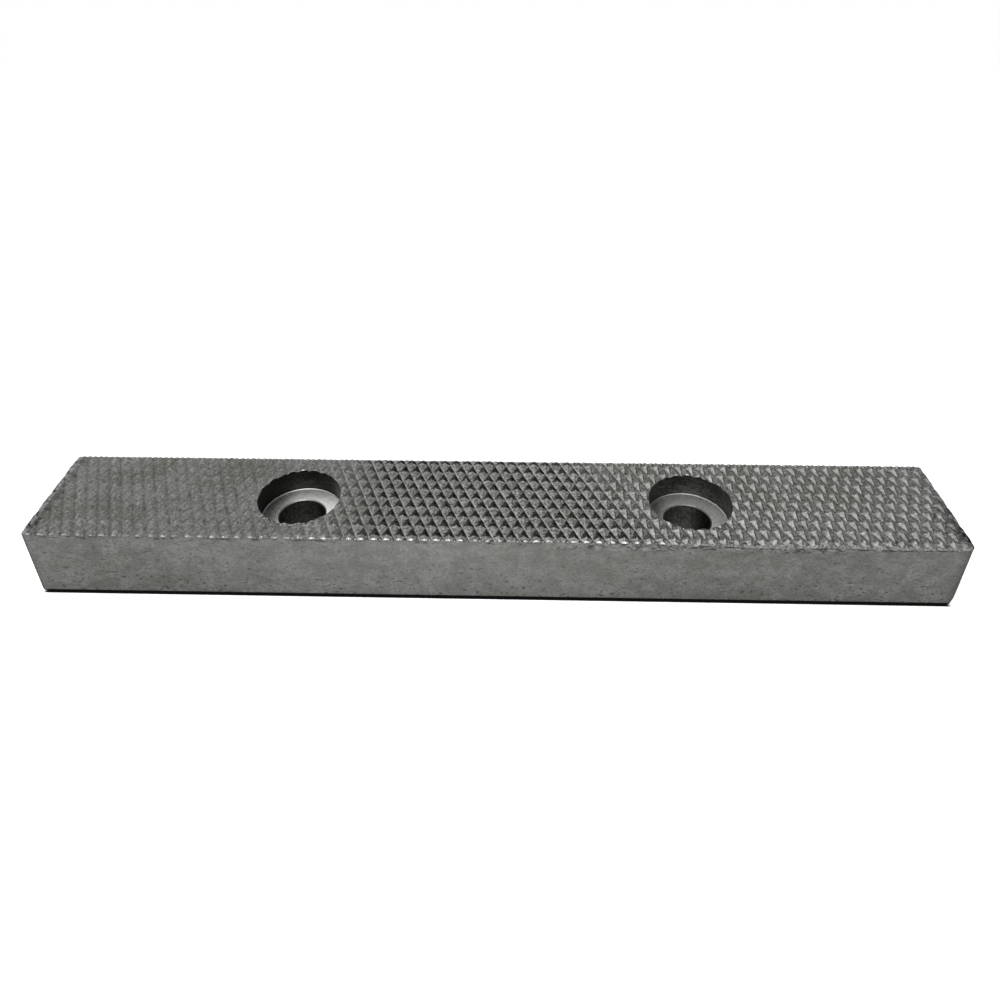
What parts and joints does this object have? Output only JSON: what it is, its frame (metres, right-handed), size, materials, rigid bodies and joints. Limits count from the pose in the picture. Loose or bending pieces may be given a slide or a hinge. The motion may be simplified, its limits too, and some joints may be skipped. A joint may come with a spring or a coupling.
{
  "type": "serrated vise jaw insert",
  "caption": "Serrated steel jaw insert for a vise: a flat plate with pointed teeth on its gripping face and counterbored screw holes in a row.",
  "frame": {"origin": "middle of the back face, the face that seats against the vise, between the two screw holes", "axes": "+X along the length and the row of screw holes, +Y across the width, +Z out of the toothed gripping face"},
  "size_m": [0.138, 0.019, 0.0118],
  "materials": {
    "jaw_insert": "dull dark grey steel, bare, with ground long sides, bright milled recess floors and cut teeth with fine burrs"
  },
  "bodies": {
    "root": {"jaw_insert": "jaw_insert"}
  },
  "joints": []
}
